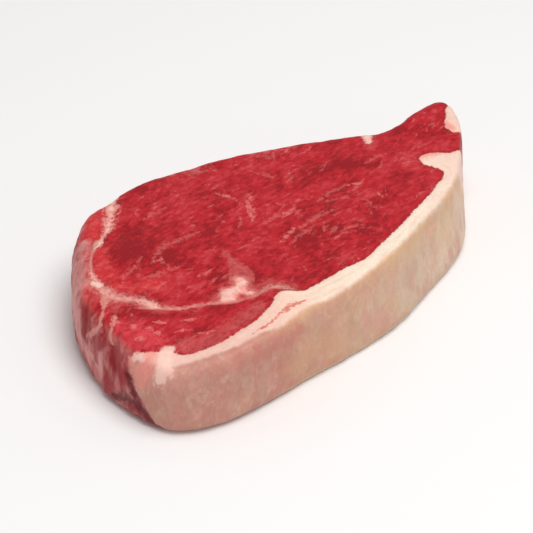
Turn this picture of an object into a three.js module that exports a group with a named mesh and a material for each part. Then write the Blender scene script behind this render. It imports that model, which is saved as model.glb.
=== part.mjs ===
// A thick raw ribeye steak lying flat on its cut face, in millimetres, +Z up.
// Its length runs along X, from the broad end at -X to the thin tail at +X. The cap of fat faces -Y and the
// trimmed back edge faces +Y. The origin is on the surface that it lies on, under the middle of its box.
// Lean and fat have grown together, so the whole steak is one solid.
import * as THREE from "three";

// Driving sizes
const LENGTH = 176;
const WIDTH = 106;
const THICKNESS = 32; // at the crown of the upper face

// How finely the skin is divided
const STEPS_AROUND = 116;
const OUTLINE_SAMPLES = 2000;
const SHOULDER_STEPS = 6;
const WALL_STEPS = 3;
const FOOT_STEPS = 4;

// Stations round the widest outline, anticlockwise seen from above. x and y are shares of half the length and
// half the width. The rest is the edge's section in millimetres: lean is how far the wall leans in at its top,
// round and drop are the reach and the depth of the shoulder above it, and foot is how far the wall is rolled
// under at the bottom.
const STATIONS = [
  { x: -1.0, y: -0.11, lean: 0, round: 7, drop: 15, foot: 4 }, // middle of the broad end, which sags
  { x: -0.97, y: -0.58, lean: 0, round: 6, drop: 14, foot: 4 },
  { x: -0.87, y: -0.91, lean: 0.5, round: 5.5, drop: 9, foot: 6 }, // corner between the broad end and the fat
  { x: -0.65, y: -1.0, lean: 0, round: 3, drop: 5, foot: 6.5 },
  { x: -0.23, y: -0.86, lean: 0.5, round: 2.8, drop: 4, foot: 4 }, // long edge of fat
  { x: 0.19, y: -0.69, lean: 3.5, round: 3, drop: 4, foot: 3.5 },
  { x: 0.51, y: -0.41, lean: 5, round: 3, drop: 4, foot: 3 }, // the fat turns up the tail
  { x: 0.75, y: -0.13, lean: 4, round: 2.5, drop: 3.5, foot: 3 },
  { x: 0.95, y: 0.45, lean: 1, round: 2, drop: 3, foot: 3 }, // trimmed end of the tail
  { x: 0.992, y: 0.68, lean: 0, round: 2, drop: 3, foot: 3 },
  { x: 0.965, y: 0.82, lean: 0, round: 2, drop: 3, foot: 2.5 },
  { x: 0.61, y: 0.73, lean: 0, round: 2, drop: 4, foot: 3 }, // hollow behind the tail
  { x: 0.44, y: 0.81, lean: 0, round: 2, drop: 4, foot: 3 },
  { x: 0.02, y: 0.96, lean: 0, round: 2, drop: 4, foot: 3 }, // long back edge
  { x: -0.43, y: 0.99, lean: 0, round: 2.5, drop: 5, foot: 3 },
  { x: -0.71, y: 0.85, lean: 0, round: 4, drop: 9, foot: 3.5 },
  { x: -0.89, y: 0.53, lean: 0, round: 7, drop: 14, foot: 4 },
];
const FOOT_RISE = 4.5; // height of the rolled edge at the bottom

// Where a ring of the upper face or the underside lies, as a share of the way from the middle to its edge
const FACE_RINGS = [0, 0.15, 0.3, 0.45, 0.6, 0.74, 0.86, 0.94];
const MIDDLE = new THREE.Vector3(4, 4, 0); // every point of the outline can be seen from here

// Swells (+) and hollows (-) of the upper face: centre, reach in X and Y, and height
const RELIEF = [
  { x: -84, y: -51, reachX: 20, reachY: 17, height: -7.5 }, // corner where the fat slumps
  { x: -87, y: 6, reachX: 12, reachY: 40, height: -2 }, // edge of the broad end
  { x: -46, y: 14, reachX: 30, reachY: 26, height: 0.9 }, // broad part of the eye
  { x: -46, y: -30, reachX: 26, reachY: 9, height: 0.5 }, // strip of muscle along the fat
  { x: -52, y: -15, reachX: 34, reachY: 5, height: -1.1 }, // seam between the two
  { x: 22, y: 8, reachX: 34, reachY: 20, height: 0.6 }, // narrow part of the eye
  { x: 58, y: 18, reachX: 10, reachY: 26, height: -0.9 }, // seam before the tail
  { x: 78, y: 34, reachX: 14, reachY: 16, height: -0.6 }, // tail
];
const CROWN = 0.9; // height of the crown over a flat face, as the swells above give it

const lerp = THREE.MathUtils.lerp;
const smoothstep = THREE.MathUtils.smoothstep;

function closedCurve(points) {
  const curve = new THREE.CatmullRomCurve3(points, true, "centripetal");
  curve.arcLengthDivisions = OUTLINE_SAMPLES;
  return curve;
}

// The widest outline, fitted so that its box is exactly LENGTH by WIDTH
function outlineCurve() {
  const rough = STATIONS.map(({ x, y }) => new THREE.Vector3((x * LENGTH) / 2, (y * WIDTH) / 2, 0));
  const box = new THREE.Box3().setFromPoints(closedCurve(rough).getSpacedPoints(OUTLINE_SAMPLES));
  const size = box.getSize(new THREE.Vector3());
  const middle = box.getCenter(new THREE.Vector3());
  const fit = new THREE.Vector3(LENGTH / size.x, WIDTH / size.y, 1);
  return closedCurve(rough.map((point) => point.sub(middle).multiply(fit)));
}

// The edge's section at a share of the way round, eased from station to station
function sectionAt(outline, share) {
  const station = outline.getUtoTmapping(share) * STATIONS.length;
  const from = STATIONS[Math.floor(station) % STATIONS.length];
  const to = STATIONS[(Math.floor(station) + 1) % STATIONS.length];
  const blend = smoothstep(station % 1, 0, 1);
  const section = {};
  for (const key of ["lean", "round", "drop", "foot"]) {
    section[key] = lerp(from[key], to[key], blend);
  }
  return section;
}

// Height of the upper face over a place
function upperFace(place) {
  let height = THICKNESS - CROWN;
  for (const swell of RELIEF) {
    const across = (place.x - swell.x) / swell.reachX;
    const along = (place.y - swell.y) / swell.reachY;
    height += swell.height * Math.exp(-across * across - along * along);
  }
  return height;
}

// One slice of skin, from the middle of the upper face over the edge to the middle of the underside
function sliceAt(outline, share) {
  const edge = outline.getPointAt(share);
  const inward = outline.getTangentAt(share).cross(new THREE.Vector3(0, 0, -1));
  const { lean, round, drop, foot } = sectionAt(outline, share);
  const inFromEdge = (distance) => edge.clone().addScaledVector(inward, distance);
  const rim = inFromEdge(lean + round);
  const rimHeight = upperFace(rim);
  const slice = [];
  const add = (place, height) => slice.push(place.clone().setZ(height));

  for (const ring of FACE_RINGS) {
    const place = MIDDLE.clone().lerp(rim, ring);
    add(place, upperFace(place));
  }
  for (let step = 0; step <= SHOULDER_STEPS; step++) {
    const angle = ((Math.PI / 2) * step) / SHOULDER_STEPS;
    add(inFromEdge(lean + round * (1 - Math.sin(angle))), rimHeight - drop * (1 - Math.cos(angle)));
  }
  for (let step = 1; step < WALL_STEPS; step++) {
    const down = step / WALL_STEPS;
    add(inFromEdge(lean * (1 - down)), lerp(rimHeight - drop, FOOT_RISE, down));
  }
  for (let step = 0; step <= FOOT_STEPS; step++) {
    const angle = ((Math.PI / 2) * step) / FOOT_STEPS;
    add(inFromEdge(foot * (1 - Math.cos(angle))), FOOT_RISE * (1 - Math.sin(angle)));
  }
  for (const ring of [...FACE_RINGS].reverse()) {
    add(MIDDLE.clone().lerp(inFromEdge(foot), ring), 0);
  }
  return slice;
}

// A sphere's skin, drawn over the steak: its meridians become the slices.
function steakGeometry() {
  const outline = outlineCurve();
  const rows = sliceAt(outline, 0).length;
  const geometry = new THREE.SphereGeometry(1, STEPS_AROUND, rows - 1);
  const skin = geometry.getAttribute("position");
  for (let column = 0; column <= STEPS_AROUND; column++) {
    const slice = sliceAt(outline, (column % STEPS_AROUND) / STEPS_AROUND);
    slice.forEach((point, row) => skin.setXYZ(row * (STEPS_AROUND + 1) + column, point.x, point.y, point.z));
  }
  geometry.computeVertexNormals();
  return geometry;
}

const rawBeef = new THREE.MeshStandardMaterial({ color: 0xb3262e, roughness: 0.4, metalness: 0 });

const steak = new THREE.Mesh(steakGeometry(), rawBeef);
steak.name = "steak";

const part = new THREE.Group();
part.add(steak);

export default part;
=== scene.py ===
import math
import random

import bmesh
import bpy
import numpy as np
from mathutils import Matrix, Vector, noise


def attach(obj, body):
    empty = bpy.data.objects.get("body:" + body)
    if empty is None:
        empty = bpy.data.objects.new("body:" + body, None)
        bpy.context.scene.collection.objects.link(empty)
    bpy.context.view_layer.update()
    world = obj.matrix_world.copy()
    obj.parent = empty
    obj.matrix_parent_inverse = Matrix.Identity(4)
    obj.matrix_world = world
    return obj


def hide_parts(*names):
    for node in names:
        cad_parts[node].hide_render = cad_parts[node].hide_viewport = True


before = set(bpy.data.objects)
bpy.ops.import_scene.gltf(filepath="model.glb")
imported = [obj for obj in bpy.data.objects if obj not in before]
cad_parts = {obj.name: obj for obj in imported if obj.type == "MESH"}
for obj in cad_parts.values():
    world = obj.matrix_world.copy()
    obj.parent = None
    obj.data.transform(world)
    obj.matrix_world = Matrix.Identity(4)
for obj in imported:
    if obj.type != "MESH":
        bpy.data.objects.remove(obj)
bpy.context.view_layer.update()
mm = 0.001


# ---- camera, light and floor

studio = {
    "target": (-0.0122, 0.0023, 0.016),    # metres, like all of the studio
    "azimuth": -28.5,       # degrees, 0 looks along +Y
    "elevation": 38.0,
    "distance": 1.0,
    "lens": 186.0,
    "floorSize": 6.0,
    "floorColor": (0.86, 0.855, 0.85),
    "floorRoughness": 0.9,
    "floorSpecular": 0.1,
    "skyColor": (1.0, 0.995, 0.99),
    "skyStrength": 0.49,
    "softboxSize": 0.8,
    "softboxPower": 9.6,    # watts
    "softboxPlace": (0.08, -0.3, 1.1),
}


def addCamera():
    camera = bpy.data.objects.new("photoCamera", bpy.data.cameras.new("photoCamera"))
    bpy.context.scene.collection.objects.link(camera)
    turn = math.radians(studio["azimuth"])
    tilt = math.radians(studio["elevation"])
    back = Vector((math.sin(turn) * math.cos(tilt), -math.cos(turn) * math.cos(tilt), math.sin(tilt)))
    camera.location = Vector(studio["target"]) + back * studio["distance"]
    camera.rotation_euler = back.to_track_quat("Z", "Y").to_euler()
    camera.data.lens = studio["lens"]
    camera.data.sensor_width = 36
    camera.data.clip_start = 0.05
    camera.data.clip_end = 20
    bpy.context.scene.camera = camera


def addLight():
    world = bpy.data.worlds.new("studioSky")
    world.use_nodes = True
    background = world.node_tree.nodes["Background"]
    background.inputs["Color"].default_value = (*studio["skyColor"], 1)
    background.inputs["Strength"].default_value = studio["skyStrength"]
    bpy.context.scene.world = world
    softbox = bpy.data.lights.new("softbox", "AREA")
    softbox.shape = "DISK"
    softbox.size = studio["softboxSize"]
    softbox.energy = studio["softboxPower"]
    lamp = bpy.data.objects.new("softbox", softbox)
    lamp.location = studio["softboxPlace"]
    lamp.rotation_euler = Vector(studio["softboxPlace"]).to_track_quat("Z", "Y").to_euler()
    bpy.context.scene.collection.objects.link(lamp)


def addFloor():
    bm = bmesh.new()
    bmesh.ops.create_grid(bm, x_segments=1, y_segments=1, size=studio["floorSize"] / 2)
    mesh = bpy.data.meshes.new("studioFloor")
    bm.to_mesh(mesh)
    bm.free()
    floor = bpy.data.objects.new("studioFloor", mesh)
    bpy.context.scene.collection.objects.link(floor)
    paint = bpy.data.materials.new("paleFloor")
    paint.use_nodes = True
    shader = paint.node_tree.nodes["Principled BSDF"]
    shader.inputs["Base Color"].default_value = (*studio["floorColor"], 1)
    shader.inputs["Roughness"].default_value = studio["floorRoughness"]
    shader.inputs["Specular IOR Level"].default_value = studio["floorSpecular"]
    mesh.materials.append(paint)


bpy.context.scene.view_settings.view_transform = "Standard"
bpy.context.scene.view_settings.look = "None"
addCamera()
addLight()
addFloor()
print("studio ready")


# ---- where lean, fat and seams lie
# All in millimetres, in plan at the upper cut face. x runs to the tail, and the fat cap faces -y.

fatCapLine = [  # lean on its right, fat on its left, from the tail to the broad end
    (92, 17), (80, 14.5), (73, 14), (69, 16), (64, 18), (60.5, 17), (60, 13), (62, 9), (64, 6), (62.5, 2),
    (58.5, -0.5), (52.6, -4.8), (41.7, -11), (31.6, -17), (20.4, -22.8), (11.2, -27), (1, -28.8),
    (-10, -31.5), (-16.5, -32.8), (-20, -31), (-24, -29.8), (-28, -32.4), (-31, -35), (-36, -38),
    (-44, -41), (-52, -42.6), (-59, -42.9), (-64.5, -42.1), (-68.5, -40), (-71, -36.5), (-74, -34.8),
    (-77, -32.8), (-80, -30.2), (-82.3, -27.7), (-83.8, -25.8), (-86, -23.7), (-96, -19.6),
]

skinLine = [  # where the cut face of the fat turns over into its outer skin
    (98, 32), (86, 20), (78.2, 10.8), (72.4, 4.6), (67.1, 0.8), (62.1, -3.7), (54.4, -9.6), (43, -16.2),
    (29.4, -24.5), (17.4, -30.5), (3.6, -36.3), (-10, -40.6), (-19, -41.8), (-27, -44.2), (-32.5, -46.2),
    (-41, -47.2), (-51, -48.5), (-60, -47.2), (-68, -45.2), (-73, -43.4), (-76.5, -41), (-79, -37.5),
    (-80.5, -33.5), (-83.5, -28), (-86, -25), (-94, -20.5),
]

fatIslands = {  # closed shapes
    "tailTip": [(80.2, 30.5), (83, 34), (87, 39.5), (93, 37), (91, 23), (83, 23.8), (80, 25)],
}

veilShape = [  # pink connective tissue beside the kernel
    (-30.6, 1.2), (-29.6, -4), (-28.5, -8.3), (-27.6, -12), (-27.4, -15), (-29, -20), (-31.8, -25.2),
    (-33.6, -25.8), (-33, -20), (-36, -18), (-38.6, -17.4), (-37.4, -15), (-34.6, -11), (-32.4, -6.2),
    (-31.8, -1),
]

kernelShape = [  # white fat between the muscles
    (-41.4, -18.9), (-43.4, -22), (-44.4, -24.4), (-42, -26), (-40, -26.6), (-38.9, -24.6), (-36.8, -24.4),
    (-35.2, -26.2), (-33.4, -27), (-32.9, -25.6), (-34.2, -24), (-33, -20.8), (-31.8, -19), (-31.7, -16.6),
    (-33.8, -15.4), (-35.4, -17.4), (-36.6, -19.4), (-39, -19.8),
]

# seams between the muscles, with half their width and their strength at each point
seams = {
    "eyeEnd": [
        (-51, 50, 2.4, 0.9), (-54, 44, 2.3, 1), (-56, 40, 2.2, 0.9), (-58.5, 36, 1.9, 0.8),
        (-61, 32, 1.5, 0.95), (-64, 29, 1.1, 0.7), (-66.7, 26.2, 1.2, 0.9), (-69, 24.6, 1.3, 1),
        (-71.2, 23, 0.9, 0.6), (-73.6, 20, 0.6, 0.4), (-75.5, 16.5, 0.6, 0.5), (-77.1, 12.5, 1, 0.75),
        (-77.8, 9, 1.6, 0.85), (-77.7, 5, 2, 0.8), (-77, 0.5, 2.1, 0.75), (-75.4, -3.6, 1.8, 0.65),
        (-72.4, -6.6, 1.4, 0.6), (-69, -9.4, 1.6, 0.7), (-66.6, -12, 1.6, 0.85), (-65.3, -14, 1.6, 1),
        (-63.8, -16, 0.5, 0.6),
    ],
    "strip": [
        (-70.5, -12.6, 0.5, 0.4), (-67.5, -13.9, 0.9, 0.55), (-64.7, -15.5, 1.1, 0.6),
        (-62.3, -17.6, 1.1, 0.55), (-59.2, -20, 1.1, 0.5), (-56.4, -21.1, 1, 0.45),
        (-53.4, -21.3, 1.1, 0.5), (-50, -22.7, 1, 0.45), (-46.6, -23.9, 1, 0.5), (-43.4, -26, 0.9, 0.45),
        (-40.5, -27.4, 0.9, 0.35), (-35.5, -28, 0.9, 0.3), (-32, -27.6, 1.1, 0.35), (-27.5, -26, 1.3, 0.4),
        (-23.4, -26.8, 1.4, 0.5), (-20, -30, 0.8, 0.4), (-17, -33, 0.2, 0.3),
    ],
}

# marbling that can be told apart, with half its width at each point
streaks = [
    [(-17.5, 32.5, 0.3), (-15, 28.5, 0.7), (-12.5, 23, 0.4)],
    [(-9.5, 23, 0.7), (-11, 17, 1.1), (-13, 11.5, 0.5)],
    [(-2.2, 10.2, 0.4), (1.2, 8.2, 0.6)],
    [(-10.4, -4.8, 0.5), (-5, -2, 0.8), (-2, 0, 0.4)],
    [(28, 13.8, 0.3), (32.4, 12.7, 0.6)],
    [(35.2, 4.7, 0.3), (35.7, 1, 0.5)],
    [(-56.4, 5.5, 0.4), (-52.6, 5.8, 0.7)],
    [(-42, 43.5, 0.6), (-39.5, 40.5, 0.4)],
    [(-62, -27, 0.2), (-58.5, -27.8, 0.7), (-56, -28.6, 0.2)],
    [(-66, -31, 0.2), (-63, -31.5, 0.6), (-60, -33, 0.2)],
    [(-70, -22, 0.2), (-67.5, -24, 0.7), (-66.4, -25.5, 0.2)],
    [(-72.4, -27, 0.4), (-71.2, -28, 1), (-70, -28.4, 0.3)],
    [(-73.3, -23.8, 0.4), (-72.5, -24.8, 0.9), (-72.2, -26.2, 0.3)],
    [(-77.1, -18.6, 0.3), (-76.8, -20, 0.9), (-77, -21.7, 0.4)],
    [(-79, -25.8, 0.4), (-77.3, -27, 0.9), (-75.4, -28, 0.3)],
    [(-81, -13, 0.4), (-80.9, -14.2, 1), (-81.2, -15.4, 0.4)],
    [(-60, -35, 0.2), (-57, -36.4, 0.7), (-53, -37, 0.2)],
]

faintStreaks = [
    [(-34, 14, 0.5), (-42, 13, 1.1), (-50, 11, 1), (-57, 5.5, 0.4)],
    [(-53, 4, 0.7), (-52, 1, 0.3)],
    [(-63, -0.5, 0.4), (-56, -0.6, 0.9), (-49, -0.7, 0.4)],
    [(-69.3, 3, 0.4), (-64, 6, 0.8), (-58.2, 10.3, 0.4)],
    [(-12, 7.5, 0.4), (-6, 9, 0.9), (0.5, 9.5, 0.4)],
    [(-8, -7, 0.4), (0, -4, 0.9), (5, -2, 0.4)],
    [(15, 2.5, 0.3), (7, 1.5, 1), (0, -1, 1)],
    [(12, 9, 0.3), (19, 12.5, 1), (28, 14.5, 0.4)],
    [(15, 8.8, 0.4), (24, 7.4, 0.8)],
    [(12.4, -9.1, 0.4), (17, -9, 0.9), (21.5, -10, 0.4)],
    [(26, 10, 0.3), (31, 12, 1), (35, 14, 0.3)],
    [(0.5, 38.5, 0.4), (3.7, 35.1, 0.8), (6.1, 31, 0.4)],
    [(-48, 30, 0.3), (-42, 32, 0.9), (-37, 33, 0.3)],
    [(40, 22, 0.3), (46, 24, 0.8), (51, 24, 0.3)],
]

bloodStreak = [  # red streak in the cut fat
    (-44, -46, 0.2), (-36, -43.5, 0.5), (-31, -41, 0.5), (-27, -39.5, 1.0), (-23, -38.5, 0.9),
    (-18, -38, 0.2),
]

# brush strokes in 3-D for patches and cords, each point with its reach
strokes = {
    "sideFat": [  # on the tail's end and thinly along the back edge
        [(83, 12, 2, 5), (86, 19, 4, 8), (88, 27, 6, 8.5), (87, 36, 9, 8), (85, 42, 12, 4)],
        [(88, 27, 14, 5), (88, 36, 20, 5), (86, 42, 25, 2.4)],
        [(70, 39, 23, 1), (61, 38, 21, 2), (52, 40, 25, 3.4), (46, 42.5, 20, 2.2), (41, 44, 14, 1.2)],
        [(30, 47, 4, 1.2), (14, 50, 6, 2.4), (-2, 52, 5, 3.2), (-15, 52, 8, 1.8), (-24, 53, 13, 0.8)],
        [(-34, 53, 26, 1), (-44, 52, 24, 2), (-51, 49, 20, 2.6), (-58, 45, 21, 1.4)],
        [(-64, 39, 12, 1.2), (-70, 33, 9, 2), (-75, 28, 9, 1)],
        [(12, 51, 26, 0.9), (4, 52, 25, 1.5), (-3, 53, 23, 0.8)],
    ],
    "film": [  # grey-pink silverskin
        [(-72.5, 28, 30, 2.4), (-77.5, 20, 29.5, 2.6), (-80.5, 14, 28.5, 3.2), (-82, 10, 28, 3)],
        [(-78, 22, 25, 4.5), (-82, 16, 23, 5), (-85, 9, 17, 5.5), (-87, 2, 11, 5)],
        [(-86, 5, 20, 3), (-87.4, 0, 13, 4), (-88, -6, 9, 3)],
        [(-87.6, -15, 17, 1.6), (-88, -16, 11, 2)],
        [(30, 47, 18, 5), (14, 50, 20, 8), (-4, 52, 17, 7), (-22, 53, 20, 8), (-36, 53, 14, 5)],
        [(-58, 46, 12, 5), (-66, 38, 14, 7), (-74, 29, 16, 6)],
        [(78, 42, 14, 6), (66, 38, 10, 5)],
    ],
    "coral": [  # fresh red
        [(-60, 43, 31, 2.5), (-65, 36, 31, 4), (-70, 30, 30.5, 3)],
        [(-81, 9, 29, 1.8), (-82, 4, 29, 2.8), (-83, -0.5, 28.5, 3), (-84, -2, 27, 2)],
        [(-68.5, 21.5, 31, 1.6), (-73, 12, 31, 2.8), (-72, 5, 31, 2.4)],
        [(-73.5, 1, 31, 1.8), (-68, -2.4, 31, 3), (-62, -5, 31, 3.2)],
    ],
    "rosy": [  # lighter lean
        [(-79, -26, 30, 4), (-68, -31, 31, 6), (-55, -35, 31, 6), (-40, -34, 31, 4)],
        [(-45, 44, 31, 5), (-20, 42, 31, 8), (10, 36, 31, 7)],
        [(62, 26, 31, 4), (58, 20, 31, 4), (55, 12, 31, 3.5)],
        [(-24, -4, 31, 4), (-24, -13, 31, 4)],
        [(-8, 34, 31, 5), (-6, 26, 31, 6), (-9, 14, 31, 5), (-14, 4, 31, 5), (-13, -4, 31, 5),
         (-15, -11, 31, 4)],
        [(-62, 0, 31, 5), (-50, -10, 31, 5)],
    ],
    "flush": [  # pink lean by the corner
        [(-81.4, -14.5, 29.4, 1.6), (-82, -20, 29, 3), (-81.8, -26, 28.4, 3.2), (-80.5, -30, 28, 2.4)],
        [(-76.6, -21, 29.8, 3.2), (-76.4, -28, 29.6, 3.6), (-73.5, -32, 29.8, 2.8)],
    ],
    "haze": [  # muted pink round the seams
        [(-79, 4, 30, 2.5), (-77.5, -3, 30.3, 3), (-73, -6.5, 30.6, 2.4), (-68, -12, 30.8, 2),
         (-64, -17, 30.6, 2.6)],
        [(-80.5, -5, 29.5, 1.8), (-78, -8, 29.8, 2)],
        [(-83.9, -26.6, 24.5, 1.8), (-84.2, -29, 21.5, 2.2)],
        [(-32.5, -24, 31, 2.2), (-28, -24, 31, 2.6), (-24, -25, 31, 2), (-18, -30, 31, 1)],
        [(-70, -36.5, 30, 1.6), (-65, -38.8, 30.4, 2.8), (-59.5, -40.8, 30.8, 3), (-53.5, -41.2, 31.2, 2.6)],
        [(-53, -38.5, 31.2, 2), (-46, -38.2, 31.3, 2.8), (-40, -36.2, 31.3, 2.6), (-34, -33.4, 31.4, 2)],
        [(-44, -22, 31, 3), (-39, -21, 31, 3.4), (-35, -20, 31, 3.6)],
        [(51, 38, 31, 1.6), (47.5, 31.5, 31, 1.6), (47, 29, 31, 1)],
    ],
    "blush": [  # pink on the fat
        [(-76.4, -33.6, 28.6, 2.4), (-80.4, -36.5, 25.4, 3.8), (-81.6, -38, 21, 2.8)],
        [(-77.2, -35.6, 28.4, 2), (-78.6, -37.6, 27.4, 2), (-79.8, -39.4, 25, 1.8)],
        [(-82.6, -30.5, 26, 2.4), (-83, -33.5, 22.5, 2.8), (-82.6, -36, 18.5, 2.2)],
        [(62, 17, 31, 2.6), (70, 17, 31, 1.8), (78, 18, 31, 2.4)],
        [(80, 31, 31, 1.4), (81, 26, 31, 1.2)],
    ],
    "rouge": [  # redder outer fat under the rim
        [(-60, -49.5, 27, 2), (-50, -51, 27, 3.4), (-41, -50.5, 26.5, 4), (-33, -49.5, 26, 4),
         (-26, -47.5, 26, 2.6)],
        [(-36, -51, 18, 3), (-30, -49.5, 14, 3)],
    ],
    "straw": [  # yellow on the outer fat
        [(-27, -47, 12, 5), (-18, -45, 15, 6), (-10, -43.5, 9, 5)],
        [(58, -9, 27, 4), (55, -11.5, 20, 6), (50, -15, 15, 4)],
        [(20, -30, 27, 3), (36, -23, 27.5, 3)],
        [(76, 6, 12, 5)],
    ],
    "sinew": [  # pale cords on the walls
        [(-79, -2, 30, 1.1), (-81, -6, 29.7, 0.9), (-83, -8, 29, 0.8), (-84.6, -9.7, 27.5, 0.8),
         (-86, -10.6, 25, 1), (-87, -8.5, 22, 1.1), (-87.5, -3.5, 17, 0.6)],
        [(-80.5, -13, 29.7, 1), (-83.5, -16.3, 28.3, 0.8), (-85.2, -18, 26.2, 0.9), (-85.6, -20.5, 25, 0.6)],
        [(-86.8, -5, 14, 0.8), (-87.8, -10, 12, 1), (-87.8, -16, 8, 0.7)],
        [(70, 41, 12, 0.5), (58, 40, 15, 0.7), (48, 41, 19, 0.8), (34, 46, 17, 0.7), (20, 49, 9, 0.6),
         (8, 51, 8, 0.6)],
        [(-8, 52.5, 8, 0.7), (-20, 53, 14, 0.8), (-30, 53, 22, 0.6), (-34, 52, 29, 0.4)],
        [(-66, 38, 14, 0.5), (-72, 32, 20, 0.8), (-78, 24, 22, 0.7), (-83, 15, 15, 0.8), (-86.4, 6, 10, 0.5)],
    ],
    "pale": [  # white fat
        [(-78.8, 7.2, 30, 0.9), (-77.8, 5, 30.3, 1.2)],
        [(-71, -36.6, 29, 1.6), (-73.2, -38, 28.6, 2.4), (-75, -40.6, 27.3, 2.5), (-76.2, -42.6, 25.2, 2.9),
         (-78, -43, 22.6, 2.1)],
        [(-82.2, -32.2, 26, 1.5), (-80.7, -34, 27, 1.4)],
        [(50, 38, 31, 1.7), (48.5, 33.5, 31, 1.2)],
        [(-45, -24, 0, 2), (-41, -22.5, 0, 2.8), (-37, -25, 0, 1.8)],
    ],
    "dark": [  # painted shade in dark red, in the cuts and along the foot of the broad end
        [(-84.6, -30.6, 18.4, 1.3), (-84, -32.6, 17.4, 1.5)],
        [(-86.6, -24, 5, 1.2), (-85.6, -28, 6.5, 2.2), (-84.7, -31.5, 8, 3), (-83.6, -35, 8, 3.4),
         (-82.6, -38, 7, 2.8), (-81.6, -40.6, 4, 2.2)],
        [(-84.7, -32.4, 15.5, 1.4), (-84, -34.6, 11.5, 2.4)],
    ],
    "deep": [  # darker red in the lean, and painted shade beside the groove of the strip seam and in the cuts on the broad end
        [(-71.5, -16.8, 30, 1.2), (-66.8, -20.4, 30.2, 1.8), (-61, -23.8, 30.8, 1.9),
         (-56.5, -25.4, 31, 1.5)],
        [(-48, -27, 31.2, 1.4), (-43, -29.6, 31.3, 1.6)],
        [(-53, 27, 31, 4), (-59, 18, 31, 5), (-64, 8, 31, 4.5)],
        [(-35.4, -3, 31, 2.2), (-37.6, -8, 31, 2.8), (-39.6, -12.6, 31, 2.6)],
        [(22, 27, 31, 2.6), (33, 25, 31, 3), (43, 20, 31, 2.4)],
        [(-6, -10, 31, 3), (3, -9, 31, 4), (12, -8, 31, 4)],
        [(-50, 7, 31, 3), (-47, 1, 31, 4), (-45, -4, 31, 3)],
        [(68, 29, 31, 3), (74, 29, 31, 4.5), (78, 24, 31, 3)],
        [(-84.2, -11.5, 27.5, 1.4), (-85, -14, 25.5, 1.6)],
        [(49, 9, 31, 3.5), (39, 2, 31, 4.5), (29, -6, 31, 4.5), (20, -12, 31, 3.5)],
        [(-85, -0.6, 25, 2.8), (-86.2, -2, 21.5, 3.7), (-87, -3.2, 17.5, 2.8)],
        [(-85.2, -21, 24.4, 1.6), (-85.7, -22.4, 20.8, 2.1), (-85.8, -24, 17.2, 1.6)],
    ],
}


def smoothLine(points, closed=False, steps=10):
    # a line through the points with rounded corners, with any width carried along
    knots = np.array(points, float)
    before = np.roll(knots, 1, axis=0)
    after = np.roll(knots, -1, axis=0)
    beyond = np.roll(knots, -2, axis=0)
    if not closed:
        before[0] = knots[0]
        after[-1] = knots[-1]
        beyond[-2:] = knots[-1]
    rows = []
    for t in np.linspace(0, 1, steps, endpoint=False):
        rows.append(0.5 * (
            2 * knots + (after - before) * t
            + (2 * before - 5 * knots + 4 * after - beyond) * t**2
            + (3 * knots - before - 3 * after + beyond) * t**3
        ))
    line = np.stack(rows, axis=1)
    line = line.reshape(-1, knots.shape[1]) if closed else line[:-1].reshape(-1, knots.shape[1])
    return np.vstack([line, line[:1] if closed else knots[-1:]])


def offsetFrom(line, places):
    # distance of each place from the line, positive on its left, and what else the line carries there
    nearest = np.full(len(places), 1e9)
    side = np.ones(len(places))
    carried = np.ones((len(places), line.shape[1] - 2))
    for start, end in zip(line[:-1], line[1:]):
        run = end[:2] - start[:2]
        away = places - start[:2]
        along = np.clip(away @ run / max(run @ run, 1e-12), 0, 1)
        gap = away - along[:, None] * run
        distance = np.hypot(gap[:, 0], gap[:, 1])
        closer = distance < nearest
        nearest[closer] = distance[closer]
        side[closer] = np.sign(run[0] * away[closer, 1] - run[1] * away[closer, 0])
        carried[closer] = start[2:] + (end[2:] - start[2:]) * along[closer, None]
    side[side == 0] = 1
    return nearest * side, carried


def insideOf(shape, places, steps=10):
    # distance of each place inside a closed shape, whichever way round it was drawn
    offset, _ = offsetFrom(smoothLine(shape, closed=True, steps=steps), places)
    points = np.array(shape, float)
    turn = np.sum(points[:, 0] * np.roll(points[:, 1], -1) - points[:, 1] * np.roll(points[:, 0], -1))
    return offset * np.sign(turn)


def strokeField(painted, places):
    # 1 in the middle of a brush stroke, 0 at its edge and less outside
    margin = 20      # mm round a stroke that it is worked out for
    field = np.full(len(places), -3.0)
    for stroke in painted:
        points = smoothLine(stroke, steps=4)
        low = points[:, :3].min(axis=0)
        high = points[:, :3].max(axis=0)
        near = np.flatnonzero(np.all(np.abs(places - (low + high) / 2) < (high - low) / 2 + margin, axis=1))
        for start, end in zip(points[:-1], points[1:]):
            run = end[:3] - start[:3]
            away = places[near] - start[:3]
            along = np.clip(away @ run / max(run @ run, 1e-12), 0, 1)
            distance = np.linalg.norm(away - along[:, None] * run, axis=1)
            reach = start[3] + (end[3] - start[3]) * along
            field[near] = np.maximum(field[near], 1 - distance / reach)
    return field


def smoothStep(low, high, value):
    share = np.clip((value - low) / (high - low), 0, 1)
    return share * share * (3 - 2 * share)


def roughness3d(places, size, octaves=3, stretch=(1, 1, 1), shift=0.0):
    # soft noise of about -1 to 1 whose bumps are size millimetres across
    scaled = places * (np.array(stretch) / size) + shift
    return np.array([noise.fractal(Vector(p), 1.0, 2.0, octaves) for p in scaled])


# ---- the form of the steak

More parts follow.
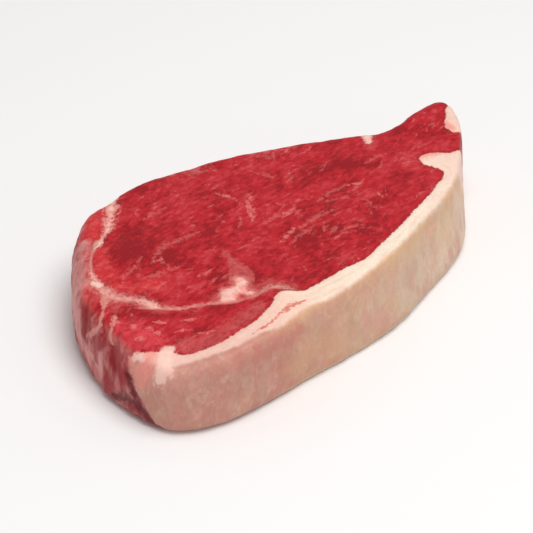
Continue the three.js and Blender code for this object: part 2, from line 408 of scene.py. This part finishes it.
steakShape = {
    "voxel": 0.7,           # mm, size of a face
    "smoothing": 6,
    "dents": (0.55, 26),    # height and size in mm
    "lumps": (0.3, 11),
    "grain": (0.09, 2.6),
    "calmWall": 0.25,       # how much less of them the walls have
    "seamDepth": 0.75,
    "seamWidth": 1.5,
    "fatStep": 0.28,        # the fat stands this much proud of the lean
    "creaseDepth": 0.3,
    "creaseWidth": 0.8,
    "slitDepth": 1.0,
    "cordHeight": 0.3,
    "sideFatHeight": 0.45,
    "wrinkleDepth": 0.6,
    "wrinkleSize": 5.0,
    "flatFoot": (1.5, 0.2),    # mm up, where the underside's relief starts to fade and where it ends
    "swells": [  # place, reach and height in mm
        (-66, 40, 27, 13, 1.0),      # small muscle at the broad end
        (-87, 8, 16, 13, 0.9),
        (-87, -22, 4, 9, 0.7),
        (84, 46, 29, 7, 0.9),        # far corner of the tail
        (86.8, 41, 29.5, 4.5, 1.1),
        (74, 42, 30, 7, 0.8),
        (88, 30, 22, 13, 0.9),
    ],
}

# how the cut pattern moves from the upper face down to the lower one, in mm
cutDrift = {
    "thickness": 32,
    "along": 2.0,
    "across": 2.5,
    "broadEnd": (-66, -82),    # x where an end's own drift starts and where it is full
    "tailEnd": (66, 84),
    "broadAcross": 12.5,
    "broadBend": 2.6,
    "tailAcross": 9,
    "wander": 2.6,
    "wanderSize": 15,
    "broadWander": -0.6,       # share that an end takes away or adds
    "tailWander": 1.2,
}

scatter = {  # the finer marbling, mostly along the grain
    "count": 70,
    "x": (-80, 82),
    "y": (-42, 48),
    "heading": (15, 32),         # degrees, mean and spread
    "length": (2.5, 9),
    "bend": 0.35,
    "halfWidth": (0.18, 0.5),
    "seed": 11,
}


def startingForm():
    # the frame's solid with its loose triangles merged, rounded and remeshed in even faces
    bm = bmesh.new()
    bm.from_mesh(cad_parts["steak"].data)
    bmesh.ops.remove_doubles(bm, verts=bm.verts, dist=1e-5)
    mesh = bpy.data.meshes.new("ribeyeSteak")
    bm.to_mesh(mesh)
    bm.free()
    piece = bpy.data.objects.new("ribeyeSteak", mesh)
    bpy.context.scene.collection.objects.link(piece)
    rounding = piece.modifiers.new("rounding", "SUBSURF")
    rounding.levels = 1
    rounding.render_levels = 1
    remesh = piece.modifiers.new("evenFaces", "REMESH")
    remesh.mode = "VOXEL"
    remesh.voxel_size = steakShape["voxel"] * mm
    relax = piece.modifiers.new("relax", "SMOOTH")
    relax.factor = 0.5
    relax.iterations = steakShape["smoothing"]
    applied = bpy.data.meshes.new_from_object(piece.evaluated_get(bpy.context.evaluated_depsgraph_get()))
    piece.modifiers.clear()
    piece.data = applied
    applied.name = "ribeyeSteak"
    return piece


def planOf(places):
    # the cut pattern drifts with depth, and most at the two ends, as muscles aren't straight
    depth = 1 - places[:, 2] / cutDrift["thickness"]
    broad = smoothStep(*cutDrift["broadEnd"], places[:, 0])
    tail = smoothStep(*cutDrift["tailEnd"], places[:, 0])
    ends = 1 + cutDrift["broadWander"] * broad + cutDrift["tailWander"] * tail
    wander = cutDrift["wander"] * depth * ends
    across = (cutDrift["broadAcross"] - cutDrift["broadBend"] * depth**3) * broad
    plan = places[:, :2].copy()
    plan[:, 1] += depth * (cutDrift["across"] + across - cutDrift["tailAcross"] * tail)
    plan[:, 0] += depth * cutDrift["along"]
    for axis, shift in ((0, 3.1), (1, 7.7)):
        plan[:, axis] += wander * roughness3d(places, cutDrift["wanderSize"], 3, (1, 1, 0.5), shift)
    return plan


def readVectors(mesh, name):
    flat = np.empty(len(mesh.vertices) * 3, np.float32)
    mesh.vertices.foreach_get(name, flat)
    return flat.reshape(-1, 3).astype(float)


def fieldsOf(places, normals):
    # what is where: depth into fat, how near each seam is, and so on, in millimetres or shares
    plan = planOf(places)
    fields = {}
    fat, _ = offsetFrom(smoothLine(fatCapLine), plan)
    fields["fatCap"] = fat
    for shape in fatIslands.values():
        fat = np.maximum(fat, insideOf(shape, plan))
    fields["fatDepth"] = fat
    skin, _ = offsetFrom(smoothLine(skinLine), places[:, :2])
    fields["skinDepth"] = np.minimum(skin, places[:, 2] - 1.4)    # the skin ends just above the underside
    fields["veil"] = insideOf(veilShape, plan)
    fields["kernel"] = np.maximum(insideOf(kernelShape, plan, 5), -10)
    for name, points in seams.items():
        offset, carried = offsetFrom(smoothLine(points), plan)
        fields[name] = np.clip(offset / np.maximum(carried[:, 0], 0.02), -30, 30)
        fields[name + "Strength"] = carried[:, 1]
    for name, painted in strokes.items():
        fields[name] = strokeField(painted, places)
    fields["streak"] = nearestStreak(streaks, plan)
    fields["faintStreak"] = nearestStreak(faintStreaks + scatteredStreaks(), plan)
    fields["bloodStreak"] = nearestStreak([bloodStreak], plan)
    fields["wall"] = 1 - smoothStep(0.35, 0.85, np.abs(normals[:, 2]))
    return fields


def scatteredStreaks():
    pick = random.Random(scatter["seed"])
    made = []
    while len(made) < scatter["count"]:
        x = pick.uniform(*scatter["x"])
        y = pick.uniform(*scatter["y"])
        heading = math.radians(pick.gauss(*scatter["heading"]))
        length = pick.uniform(*scatter["length"])
        bend = pick.gauss(0, scatter["bend"])
        wide = pick.uniform(*scatter["halfWidth"])
        points = []
        for step in range(5):
            points.append((x, y, wide * math.sin(math.pi * (step + 0.6) / 5.2)))    # thinner at both ends
            x += math.cos(heading) * length / 4
            y += math.sin(heading) * length / 4
            heading += bend * pick.uniform(0.2, 1.6)
        made.append(points)
    return made


def nearestStreak(lines, plan):
    # distance to the nearest streak, as a share of half its width
    margin = 6       # mm round a streak that it is worked out for
    nearest = np.full(len(plan), 30.0)
    for points in lines:
        line = smoothLine(points, steps=4)
        low = line[:, :2].min(axis=0) - margin
        high = line[:, :2].max(axis=0) + margin
        near = np.all((plan > low) & (plan < high), axis=1)
        offset, carried = offsetFrom(line, plan[near])
        nearest[near] = np.minimum(nearest[near], np.abs(offset) / np.maximum(carried[:, 0], 0.05))
    return nearest


def reliefOf(places, normals, fields):
    # how far each vertex is pushed outwards, in millimetres
    fat = fields["fatDepth"]
    wall = fields["wall"]
    isLean = 1 - smoothStep(-0.4, 0.4, fat)
    push = np.zeros(len(places))
    for key, octaves, shift in (("dents", 2, 0.0), ("lumps", 3, 5.3), ("grain", 2, 9.1)):
        height, size = steakShape[key]
        bumps = roughness3d(places, size, octaves, (1, 1, 0.6), shift)
        push += height * bumps * (1 - steakShape["calmWall"] * wall)
    for x, y, z, reach, height in steakShape["swells"]:
        away = np.linalg.norm(places - (x, y, z), axis=1)
        push += height * np.exp(-((away / reach) ** 2))
    for name in seams:
        groove = np.exp(-((fields[name] / steakShape["seamWidth"]) ** 2)) * fields[name + "Strength"]
        push -= steakShape["seamDepth"] * groove * isLean
    slits = np.clip(np.maximum(0.5 * fields["dark"], fields["deep"]), 0, 1)
    push -= steakShape["slitDepth"] * slits * wall
    push += steakShape["cordHeight"] * (np.clip(fields["sinew"], 0, 1) + 0.5 * np.clip(fields["pale"], 0, 1))
    sideFat = smoothStep(-0.2, 0.5, fields["sideFat"])
    push += steakShape["sideFatHeight"] * sideFat
    onFat = smoothStep(-0.3, 1.2, np.maximum(fat, fields["kernel"]))
    push += steakShape["fatStep"] * onFat * (1 - wall)
    push -= steakShape["creaseDepth"] * np.exp(-((fat / steakShape["creaseWidth"]) ** 2)) * (1 - sideFat)
    upright = roughness3d(places, steakShape["wrinkleSize"], 3, (1, 1, 0.09), 2.2)
    push += steakShape["wrinkleDepth"] * upright * wall * (0.25 + 0.75 * isLean)
    underside = smoothStep(*steakShape["flatFoot"], places[:, 2])
    return np.where(normals[:, 2] < 0, push * (1 - underside), push)


def sculpt(piece):
    places = readVectors(piece.data, "co") / mm
    normals = readVectors(piece.data, "normal")
    fields = fieldsOf(places, normals)
    places += normals * reliefOf(places, normals, fields)[:, None]
    places[:, 2] = np.maximum(places[:, 2], 0)
    piece.data.vertices.foreach_set("co", (places * mm).astype(np.float32).ravel())
    piece.data.polygons.foreach_set("use_smooth", np.ones(len(piece.data.polygons), bool))
    for name, values in fields.items():
        stored = piece.data.attributes.new(name, "FLOAT", "POINT")
        stored.data.foreach_set("value", values.astype(np.float32))
    piece.data.update()


# ---- the finish
# Colours are 0 to 255, as on the screen.

leanLook = {
    "deep": (144, 10, 22),
    "red": (180, 26, 36),
    "pink": (200, 70, 76),
    "coral": (208, 48, 52),
    "coralLight": (228, 88, 86),
    "flush": (216, 68, 76),
    "haze": (190, 88, 86),
    "marbling": (222, 126, 120),
    "seam": (244, 188, 174),
    "roughness": (0.38, 0.54),
}

fatLook = {
    "cut": [  # colour of the cut fat at each x in millimetres
        (-75, (232, 188, 174)),
        (-38, (234, 195, 179)),
        (-24, (238, 205, 184)),
        (-8, (239, 219, 198)),
        (30, (239, 225, 205)),
        (58, (239, 216, 198)),
        (78, (238, 202, 186)),
    ],
    "cutPink": (232, 180, 164),
    "blood": (210, 104, 90),
    "blush": (238, 146, 134),
    "rouge": (196, 118, 104),
    "white": (242, 202, 189),
    "edge": (214, 166, 124),    # the tan line where the cut turns over into the skin
    "skin": [  # colour of the outer fat at each x in millimetres
        (-85, (198, 138, 124)),
        (-45, (194, 134, 120)),
        (-20, (204, 154, 130)),
        (5, (208, 166, 138)),
        (45, (208, 180, 156)),
        (75, (220, 194, 172)),
    ],
    "skinPink": (210, 154, 138),
    "skinGray": (192, 154, 132),
    "skinLight": (226, 190, 166),
    "straw": (214, 172, 130),
    "roughness": (0.42, 0.58),
}

endLook = {
    "film": (216, 146, 140),
    "raw": (164, 60, 62),
    "fresh": (232, 62, 58),
    "freshLight": (244, 108, 98),
    "fat": (240, 200, 184),
    "fatPink": (226, 164, 150),
    "sinew": (220, 150, 138),
    # painted shade for the cuts and the foot of the broad end
    "dark": (98, 12, 20),
}

surface = {  # settings of the shader
    "Specular IOR Level": 0.22,
    "Subsurface Weight": 0.1,
    "Subsurface Radius": (1.0, 0.35, 0.2),
    "Subsurface Scale": 2.0 * mm,
}
fineBumps = {"Strength": 0.5, "Distance": 0.4 * mm}
raggedness = 3.4       # reach of the ragged noise round 0

# what makes the lean lighter or darker, and how much of each
leanTone = {
    "broadPatches": 0.55,
    "smallPatches": 0.45,
    "bundles": 0.16,
    "speckle": 0.42,
    "x": 0.25,       # lighter towards the tail
}

# soft noise: drawn out along x, y and z, turned in degrees, size in mm, detail, roughness and distortion
patterns = {
    "ragged": ((1, 1, 1.8), 0, 3.2, 4, 0.65, 0),
    "broadPatches": ((1.9, 1, 8), 17, 13, 3, 0.55, 0.6),
    "smallPatches": ((1.9, 1, 8), 17, 3.6, 4, 0.6, 0.4),
    "speckle": ((1.5, 1, 4), 20, 1.7, 3, 0.6, 0),
    "mottles": ((1, 1, 1.8), 0, 2.6, 4, 0.65, 0.4),
    "flecks": ((2.4, 1, 8), 20, 1.9, 3, 0.6, 0.5),
    "crowded": ((1, 1, 7), 0, 9, 2, 0.5, 0),
    "streaked": ((1, 1, 2.6), 0, 4.2, 4, 0.55, 0.5),
    "sheets": ((1.3, 1.3, 1), 0, 15, 4, 0.6, 0.8),
    "layered": ((1, 1, 1), 0, 2.4, 3, 0.6, 0),
    "grit": ((1, 1, 1.8), 0, 1.5, 3, 0.7, 0),
    "skinShift": ((1, 1, 1.6), 0, 20, 3, 0.6, 0),
    "skinPink": ((1, 1, 2.2), 0, 7, 4, 0.6, 0),
    "skinGray": ((1, 1, 1.8), 0, 6, 4, 0.65, 0),
    "skinLight": ((1, 1, 1.4), 0, 4, 4, 0.65, 0.5),
    "wet": ((1, 1, 1), 0, 7, 3, 0.6, 0),
    "waxy": ((1, 1, 1), 0, 9, 3, 0.6, 0),
    "fine": ((1, 1, 1), 0, 1.1, 4, 0.6, 0),
    "fatBumps": ((1, 1, 1), 0, 3.4, 3, 0.6, 0),
}

# cells of one tone: drawn out, turned in degrees, and size in mm
cells = {
    "lobules": ((1, 1, 1.8), 0, 1.1),         # of fat
    "bundles": ((1.9, 1, 8), 17, 1.25),       # of fibres
}

# where a pattern or a place starts to show and where it is full, and its share at both
ramps = {
    "red": (0.34, 0.56),
    "pink": (0.52, 0.76, 0, 0.7),
    "patchy": (0.38, 0.6, 0.5, 1),
    "light": (0.44, 0.62),            # light spots in the fresh red
    "fleck": (0.9, 1.14, 0, 0.5),
    "thinFilm": (0.46, 0.6, 0, 0.6),
    "bareLean": (0.42, 0.56, 0.6, 0),
    "filmPatches": (0.4, 0.56, 0.65, 1),
    "sideFatPink": (0.36, 0.6),
    "shadeAlong": (-50 * mm, -25 * mm, 0.2, 1),
    "cutPink": (0.42, 0.76, 0, 0.55),
    "whitePink": (0.4, 0.75, 0, 0.6),
    "kernelPink": (0.42, 0.62, 0, 0.75),
    "tanPatches": (0.4, 0.6, 0.2, 1),
    "tanAlong": (-50 * mm, -20 * mm),
    "grit": (0.2, 0.8, 0.94, 1.05),
    "skinShift": (0.3, 0.7, -22 * mm, 22 * mm),
    "skinPink": (0.48, 0.66, 0, 0.75),
    "skinGray": (0.44, 0.68, 0, 0.6),
    "skinLight": (0.5, 0.74, 0, 0.4),
    "gloss": (0.35, 0.65),
}

# the layers' edges: how ragged, how much they follow the lobules, where they start and are full, and the
# share at both. Brush strokes are 0 at their rim and 1 in the middle, streaks and seams count half widths
# from their middle, and the rest is in millimetres.
layers = {
    "rosy": (0.8, 0.3, -0.9, 0.9, 0, 0.07),
    "deep": (0.7, 0.6, -0.7, 0.7, 0, 0.12),
    "flush": (1.0, 1.0, -0.8, 0.8, 0, 0.75),
    "coral": (0.8, 0.6, -0.8, 0.8, 0, 0.6),
    "haze": (0.7, 1.0, -0.8, 0.8, 0, 0.7),
    "film": (0.8, 0.4, -0.85, 0.85, 0, 0.9),
    "wallCoral": (0.8, 0.6, -0.8, 0.8, 0, 0.85),
    # wallDeep: darker red in the cuts of the broad end, partly painted shade
    "wallDeep": (0.6, 0.6, -0.6, 0.6, 0, 0.75),
    "sideFat": (0.45, 0.4, -0.5, 0.5, 0, 0.85),
    "sinew": (0.8, 1.2, -0.5, 0.5, 0, 0.7),
    # dark: painted shade in the cuts and along the foot of the broad end
    "dark": (0.9, 0.6, -0.7, 0.7, 0, 0.85),
    "rouge": (0.9, 0.5, -0.9, 0.9, 0, 0.5),
    "straw": (0.8, 0.4, -1.0, 1.0, 0, 0.4),
    "blush": (0.7, 0.5, -0.8, 0.8, 0, 0.75),
    "pale": (0.5, 0.5, -0.45, 0.45, 0, 0.88),
    "streak": (0.4, 2.0, 0.1, 1.6, 0.6, 0),
    "faintStreak": (0.4, 2.0, 0.1, 1.6, 0.3, 0),
    "seam": (0.6, 1.5, 0.1, 1.5, 1, 0),
    "blood": (0, 1.4, 0.3, 1.6, 0.85, 0),
    "veil": (0.6, 1.2, -0.8, 1.0, 0, 0.85),
    "halo": (0.8, 1.0, -2.6, 0.2, 0, 0.7),
    "kernel": (0.35, 0.7, -0.7, 0.8, 0, 0.82),
    "shade": (0.4, 0, -1.7, -0.3, 0, 0.45),
    "fat": (0.4, 0.45, -0.35, 0.35, 0, 1),
    "skin": (0.45, 0, -0.9, 1.0, 0, 1),
    "tanLine": (0.45, 0, 0.3, 3.0, 0.7, 0),
}


def linear(color):
    # 0 to 255 screen colour to the shader's own
    parts = [part / 255 for part in color]
    return (*[p / 12.92 if p <= 0.04045 else ((p + 0.055) / 1.055) ** 2.4 for p in parts], 1)


def put(tree, kind, inputs=None, **settings):
    made = tree.nodes.new(kind)
    for name, value in settings.items():
        setattr(made, name, value)
    for key, value in (inputs or {}).items():
        if isinstance(value, bpy.types.NodeSocket):
            tree.links.new(value, made.inputs[key])
        else:
            made.inputs[key].default_value = value
    return made


def calc(tree, operation, first, second=0.0):
    return put(tree, "ShaderNodeMath", {0: first, 1: second}, operation=operation).outputs[0]


def added(tree, base, extra, weight):
    return calc(tree, "ADD", base, calc(tree, "MULTIPLY", extra, weight))


def attribute(tree, name):
    return put(tree, "ShaderNodeAttribute", attribute_name=name).outputs["Fac"]


def fade(tree, value, low, high, start=0.0, end=1.0):
    return put(
        tree, "ShaderNodeMapRange",
        {"Value": value, "From Min": low, "From Max": high, "To Min": start, "To Max": end},
        interpolation_type="SMOOTHSTEP",
    ).outputs["Result"]


def mixed(tree, share, first, second):
    # each of the two is a socket or a screen colour
    first, second = [one if isinstance(one, bpy.types.NodeSocket) else linear(one) for one in (first, second)]
    return put(tree, "ShaderNodeMix", {0: share, 6: first, 7: second}, data_type="RGBA").outputs[2]


def mixedNumber(tree, share, first, second):
    return put(tree, "ShaderNodeMix", {0: share, 2: first, 3: second}, data_type="FLOAT").outputs[0]


def stretched(tree, places, lengths, turn):
    return put(
        tree, "ShaderNodeMapping",
        {"Vector": places, "Rotation": (0, 0, math.radians(turn)), "Scale": lengths}, vector_type="TEXTURE",
    ).outputs["Vector"]


def cellTone(tree, places, name):
    # -0.5 to 0.5, the same all over each cell
    lengths, turn, size = cells[name]
    places = stretched(tree, places, lengths, turn)
    made = put(tree, "ShaderNodeTexVoronoi", {"Vector": places, "Scale": 1 / (size * mm), "Randomness": 1.0})
    tone = put(tree, "ShaderNodeSeparateColor", {"Color": made.outputs["Color"]}).outputs[0]
    return calc(tree, "SUBTRACT", tone, 0.5)


def noiseOf(tree, places, name):
    lengths, turn, size, detail, roughness, distortion = patterns[name]
    return put(
        tree, "ShaderNodeTexNoise",
        {"Vector": stretched(tree, places, lengths, turn), "Scale": 1 / (size * mm), "Detail": detail,
         "Roughness": roughness, "Distortion": distortion},
    ).outputs["Fac"]


def layer(tree, base, name, field=None):
    # share of a layer, from its own attribute or another field
    rough, grain, low, high, start, end = layers[name]
    edge = added(tree, field or attribute(tree, name), base["ragged"], rough)
    return fade(tree, added(tree, edge, base["lobules"], grain), low, high, start, end)


def ramp(tree, value, name):
    return fade(tree, value, *ramps[name])


def alongSteak(tree, x, colors):
    # a colour that changes along the steak
    first = colors[0][0] * mm
    last = colors[-1][0] * mm
    share = put(tree, "ShaderNodeMapRange", {"Value": x, "From Min": first, "From Max": last}).outputs[0]
    blend = put(tree, "ShaderNodeValToRGB", {0: share})
    stops = blend.color_ramp.elements
    while len(stops) < len(colors):
        stops.new(0.5)
    for stop, (at, color) in zip(stops, colors):
        stop.position = (at * mm - first) / (last - first)
        stop.color = linear(color)
    return blend.outputs["Color"]


def sharedPatterns(tree):
    # what several of the layers read
    places = put(tree, "ShaderNodeTexCoord").outputs["Object"]
    base = {
        "places": places,
        "x": put(tree, "ShaderNodeSeparateXYZ", {0: places}).outputs[0],
        "wall": attribute(tree, "wall"),
    }
    for name in cells:
        base[name] = cellTone(tree, places, name)
    for name in ("broadPatches", "smallPatches", "mottles", "flecks"):
        base[name] = noiseOf(tree, places, name)
    for name in ("ragged", "speckle"):
        base[name] = calc(tree, "SUBTRACT", noiseOf(tree, places, name), 0.5)
    base["ragged"] = calc(tree, "MULTIPLY", base["ragged"], raggedness)
    tone = 0.0
    for name, weight in leanTone.items():
        tone = added(tree, tone, base[name], weight)
    tone = calc(tree, "ADD", tone, layer(tree, base, "rosy"))
    # the deep strokes darken the tone: darker red, and painted shade beside the groove of the strip seam
    base["tone"] = calc(tree, "SUBTRACT", tone, layer(tree, base, "deep"))
    base["patchy"] = ramp(tree, added(tree, base["mottles"], base["bundles"], 0.12), "patchy")
    growth = put(tree, "ShaderNodeCombineXYZ", {
        0: calc(tree, "MULTIPLY", attribute(tree, "fatCap"), mm),
        1: calc(tree, "MULTIPLY", base["x"], 0.2),
    }).outputs[0]        # the layers of the fat follow its edge
    base["pinkness"] = added(tree, noiseOf(tree, growth, "layered"), base["lobules"], 0.16)
    return base


def leanColor(tree, base):
    lean = mixed(tree, ramp(tree, base["tone"], "red"), leanLook["deep"], leanLook["red"])
    lean = mixed(tree, ramp(tree, base["tone"], "pink"), lean, leanLook["pink"])
    flush = calc(tree, "MULTIPLY", layer(tree, base, "flush"), base["patchy"])
    lean = mixed(tree, flush, lean, leanLook["flush"])
    coral = mixed(tree, ramp(tree, base["mottles"], "light"), leanLook["coral"], leanLook["coralLight"])
    return mixed(tree, layer(tree, base, "coral"), lean, coral)


def withMarbling(tree, base, lean):
    # flecks, thicker in some places than in others, and the streaks
    fleck = added(tree, base["flecks"], noiseOf(tree, base["places"], "crowded"), 0.6)
    fleck = ramp(tree, added(tree, fleck, base["bundles"], 0.06), "fleck")
    for name in ("streak", "faintStreak"):
        fleck = calc(tree, "MAXIMUM", fleck, layer(tree, base, name))
    return mixed(tree, fleck, lean, leanLook["marbling"])


def withSeams(tree, base, lean):
    # the seams between the muscles and the tissue round them
    haze = calc(tree, "MAXIMUM", layer(tree, base, "veil"), layer(tree, base, "haze"))
    lean = mixed(tree, calc(tree, "MULTIPLY", haze, base["patchy"]), lean, leanLook["haze"])
    seamShare = 0.0
    for name in seams:
        share = layer(tree, base, "seam", calc(tree, "ABSOLUTE", attribute(tree, name)))
        share = calc(tree, "MULTIPLY", share, attribute(tree, name + "Strength"))
        seamShare = calc(tree, "MAXIMUM", seamShare, share)
    speckled = added(tree, 0.9, base["lobules"], 0.9)
    return mixed(tree, calc(tree, "MULTIPLY", seamShare, speckled), lean, leanLook["seam"])


def withSides(tree, base, lean):
    # the broad end and the back edge: raw lean under a pale film, in upright streaks
    streaked = noiseOf(tree, base["places"], "streaked")
    sheets = noiseOf(tree, base["places"], "sheets")
    filmed = added(tree, calc(tree, "MULTIPLY", streaked, 0.4), sheets, 0.6)
    side = mixed(tree, ramp(tree, filmed, "thinFilm"), endLook["raw"], endLook["film"])
    bare = added(tree, calc(tree, "MULTIPLY", base["tone"], 0.45), streaked, 0.55)
    side = mixed(tree, ramp(tree, bare, "bareLean"), side, leanLook["deep"])
    lean = mixed(tree, calc(tree, "MULTIPLY", base["wall"], 0.85), lean, side)
    film = calc(tree, "MULTIPLY", layer(tree, base, "film"), ramp(tree, filmed, "filmPatches"))
    lean = mixed(tree, film, lean, endLook["film"])
    fresh = mixed(tree, ramp(tree, base["mottles"], "light"), endLook["fresh"], endLook["freshLight"])
    # on the walls the deep strokes paint darker red into the cuts of the broad end, partly as painted shade
    for name, field, color in (("wallCoral", "coral", fresh), ("wallDeep", "deep", leanLook["deep"])):
        share = calc(tree, "MULTIPLY", layer(tree, base, name, attribute(tree, field)), base["wall"])
        lean = mixed(tree, share, lean, color)
    shade = layer(tree, base, "shade", attribute(tree, "fatDepth"))
    shade = calc(tree, "MULTIPLY", shade, ramp(tree, base["x"], "shadeAlong"))
    lean = mixed(tree, shade, lean, leanLook["deep"])
    sideFat = mixed(tree, ramp(tree, base["mottles"], "sideFatPink"), endLook["fat"], endLook["fatPink"])
    # the dark layer is painted shade in the cuts and along the foot of the broad end
    for name, color in (("sideFat", sideFat), ("sinew", endLook["sinew"]), ("dark", endLook["dark"])):
        lean = mixed(tree, layer(tree, base, name), lean, color)
    return lean


def skinColor(tree, base):
    # the outer fat is pink by the broad end and creamy by the tail, with soft patches
    shift = ramp(tree, noiseOf(tree, base["places"], "skinShift"), "skinShift")
    skin = alongSteak(tree, calc(tree, "ADD", base["x"], shift), fatLook["skin"])
    for name in ("skinPink", "skinGray", "skinLight"):
        patches = noiseOf(tree, base["places"], name)
        skin = mixed(tree, ramp(tree, patches, name), skin, fatLook[name])
    return skin


def fatColor(tree, base):
    cutFat = alongSteak(tree, base["x"], fatLook["cut"])
    cutFat = mixed(tree, ramp(tree, base["pinkness"], "cutPink"), cutFat, fatLook["cutPink"])
    blood = layer(tree, base, "blood", attribute(tree, "bloodStreak"))
    cutFat = mixed(tree, blood, cutFat, fatLook["blood"])
    skinDepth = attribute(tree, "skinDepth")
    tanLine = layer(tree, base, "tanLine", skinDepth)
    tanLine = calc(tree, "MULTIPLY", tanLine, ramp(tree, base["broadPatches"], "tanPatches"))
    tanLine = calc(tree, "MULTIPLY", tanLine, ramp(tree, base["x"], "tanAlong"))
    skin = mixed(tree, tanLine, skinColor(tree, base), fatLook["edge"])
    fat = mixed(tree, layer(tree, base, "skin", skinDepth), cutFat, skin)
    grit = added(tree, noiseOf(tree, base["places"], "grit"), base["lobules"], 0.3)
    fat = put(tree, "ShaderNodeHueSaturation", {"Value": ramp(tree, grit, "grit"), "Color": fat})
    fat = fat.outputs["Color"]
    for name in ("rouge", "straw", "blush"):
        fat = mixed(tree, layer(tree, base, name), fat, fatLook[name])
    return fat


def withWhiteFat(tree, base, meat):
    # white patches at the corner and the back, and the kernel between the muscles in its pink halo
    white = mixed(tree, ramp(tree, base["pinkness"], "whitePink"), fatLook["white"], fatLook["cutPink"])
    meat = mixed(tree, layer(tree, base, "pale"), meat, white)
    kernel = attribute(tree, "kernel")
    meat = mixed(tree, layer(tree, base, "halo", kernel), meat, leanLook["marbling"])
    uneven = mixed(tree, ramp(tree, base["mottles"], "kernelPink"), fatLook["white"], fatLook["blush"])
    return mixed(tree, layer(tree, base, "kernel", kernel), meat, uneven)


def addGloss(tree, base, shader, fatShare):
    places = base["places"]
    wet = fade(tree, noiseOf(tree, places, "wet"), *ramps["gloss"], *leanLook["roughness"])
    waxy = fade(tree, noiseOf(tree, places, "waxy"), *ramps["gloss"], *fatLook["roughness"])
    tree.links.new(mixedNumber(tree, fatShare, wet, waxy), shader.inputs["Roughness"])
    fine = noiseOf(tree, places, "fine")
    leanRelief = added(tree, fine, base["flecks"], 0.8)
    fatRelief = calc(tree, "MULTIPLY", noiseOf(tree, places, "fatBumps"), 1.2)
    fatRelief = added(tree, fatRelief, fine, 0.6)
    relief = mixedNumber(tree, fatShare, leanRelief, fatRelief)
    bump = put(tree, "ShaderNodeBump", {**fineBumps, "Height": relief})
    tree.links.new(bump.outputs["Normal"], shader.inputs["Normal"])
    for name, value in surface.items():
        shader.inputs[name].default_value = value


def rawMeat():
    paint = bpy.data.materials.new("rawMeat")
    paint.use_nodes = True
    tree = paint.node_tree
    shader = tree.nodes["Principled BSDF"]
    base = sharedPatterns(tree)
    lean = leanColor(tree, base)
    lean = withMarbling(tree, base, lean)
    lean = withSeams(tree, base, lean)
    lean = withSides(tree, base, lean)
    fatShare = layer(tree, base, "fat", attribute(tree, "fatDepth"))
    meat = mixed(tree, fatShare, lean, fatColor(tree, base))
    meat = withWhiteFat(tree, base, meat)
    tree.links.new(meat, shader.inputs["Base Color"])
    addGloss(tree, base, shader, fatShare)
    return paint


steak = startingForm()
print("even faces:", len(steak.data.polygons))
sculpt(steak)
steak.data.materials.clear()
steak.data.materials.append(rawMeat())
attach(steak, "root")
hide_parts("steak")
print("steak ready")
